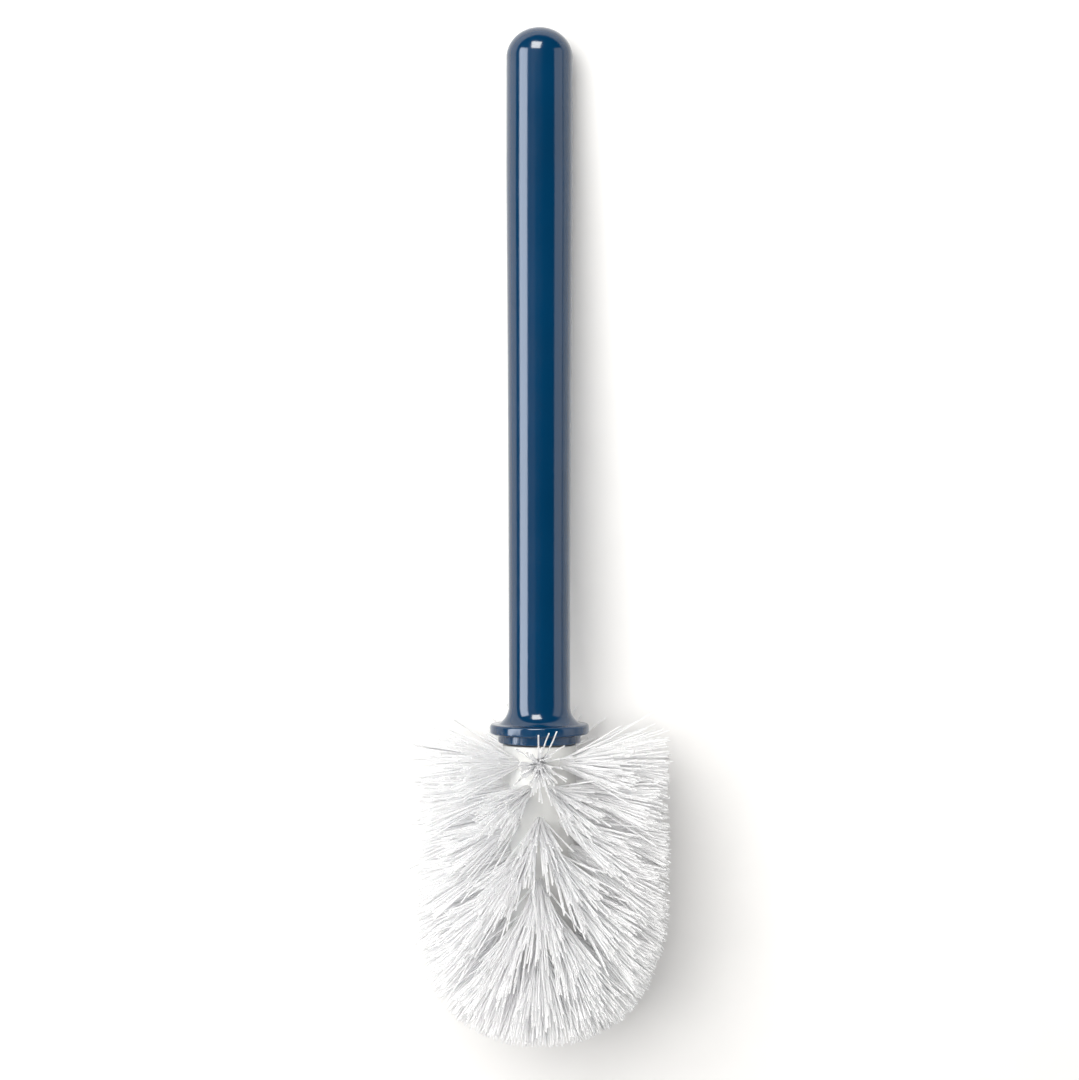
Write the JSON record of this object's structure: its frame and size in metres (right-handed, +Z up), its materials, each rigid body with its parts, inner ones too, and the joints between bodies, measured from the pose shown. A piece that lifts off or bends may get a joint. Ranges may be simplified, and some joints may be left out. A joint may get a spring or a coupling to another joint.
{
  "type": "toilet brush",
  "caption": "Toilet brush lying at rest: hollow glossy handle with a domed end and a round flange, and a screw-off head of staggered white bristle tufts.",
  "frame": {"origin": "on the surface that the brush lies on, at the centre of its footprint", "axes": "+Z up from the surface, +Y towards the handle's domed end, +X to the right with the head nearest"},
  "size_m": [0.0928, 0.3568, 0.098],
  "materials": {
    "blue_abs": "high gloss moulded ABS, deep petrol blue",
    "white_polypropylene": "satin moulded polypropylene, white",
    "bristle": "bundled polypropylene filament, cool white",
    "black_rubber": "matt black rubber",
    "grey_nylon": "satin grey nylon"
  },
  "bodies": {
    "handle": {"handle_shell": "blue_abs", "thread_socket": "grey_nylon"},
    "seal": {"sealing_ring": "black_rubber"},
    "head": {"brush_core": "white_polypropylene", "tuft_row1_1": "bristle", "tuft_row1_2": "bristle", "tuft_row1_3": "bristle", "tuft_row1_4": "bristle", "tuft_row1_5": "bristle", "tuft_row1_6": "bristle", "tuft_row1_7": "bristle", "tuft_row1_8": "bristle", "tuft_row1_9": "bristle", "tuft_row2_1": "bristle", "tuft_row2_2": "bristle", "tuft_row2_3": "bristle", "tuft_row2_4": "bristle", "tuft_row2_5": "bristle", "tuft_row2_6": "bristle", "tuft_row2_7": "bristle", "tuft_row2_8": "bristle", "tuft_row2_9": "bristle", "tuft_row3_1": "bristle", "tuft_row3_2": "bristle", "tuft_row3_3": "bristle", "tuft_row3_4": "bristle", "tuft_row3_5": "bristle", "tuft_row3_6": "bristle", "tuft_row3_7": "bristle", "tuft_row3_8": "bristle", "tuft_row3_9": "bristle", "tuft_row4_1": "bristle", "tuft_row4_2": "bristle", "tuft_row4_3": "bristle", "tuft_row4_4": "bristle", "tuft_row4_5": "bristle", "tuft_row4_6": "bristle", "tuft_row4_7": "bristle", "tuft_row4_8": "bristle", "tuft_row4_9": "bristle", "tuft_row5_1": "bristle", "tuft_row5_2": "bristle", "tuft_row5_3": "bristle", "tuft_row5_4": "bristle", "tuft_row5_5": "bristle", "tuft_row5_6": "bristle", "tuft_row5_7": "bristle", "tuft_row5_8": "bristle", "tuft_row5_9": "bristle", "tuft_row6_1": "bristle", "tuft_row6_2": "bristle", "tuft_row6_3": "bristle", "tuft_row6_4": "bristle", "tuft_row6_5": "bristle", "tuft_row6_6": "bristle", "tuft_row6_7": "bristle", "tuft_row6_8": "bristle", "tuft_row6_9": "bristle", "tufts_end": "bristle"}
  },
  "joints": [
    {"name": "thread_travel", "type": "slide", "parent": "handle", "child": "seal", "axis": [0, -0.9908, 0.135], "range_m": [0, 0.0151]},
    {"name": "head_unscrew", "type": "hinge", "parent": "seal", "child": "head", "pos_m": [0, -0.07327, 0.04452], "axis": [0, -0.9908, 0.135], "range_deg": [0, 1800]}
  ],
  "couplings": [
    {"joint": "thread_travel", "follows": "head_unscrew", "m_per_rad": 0.00047746}
  ]
}
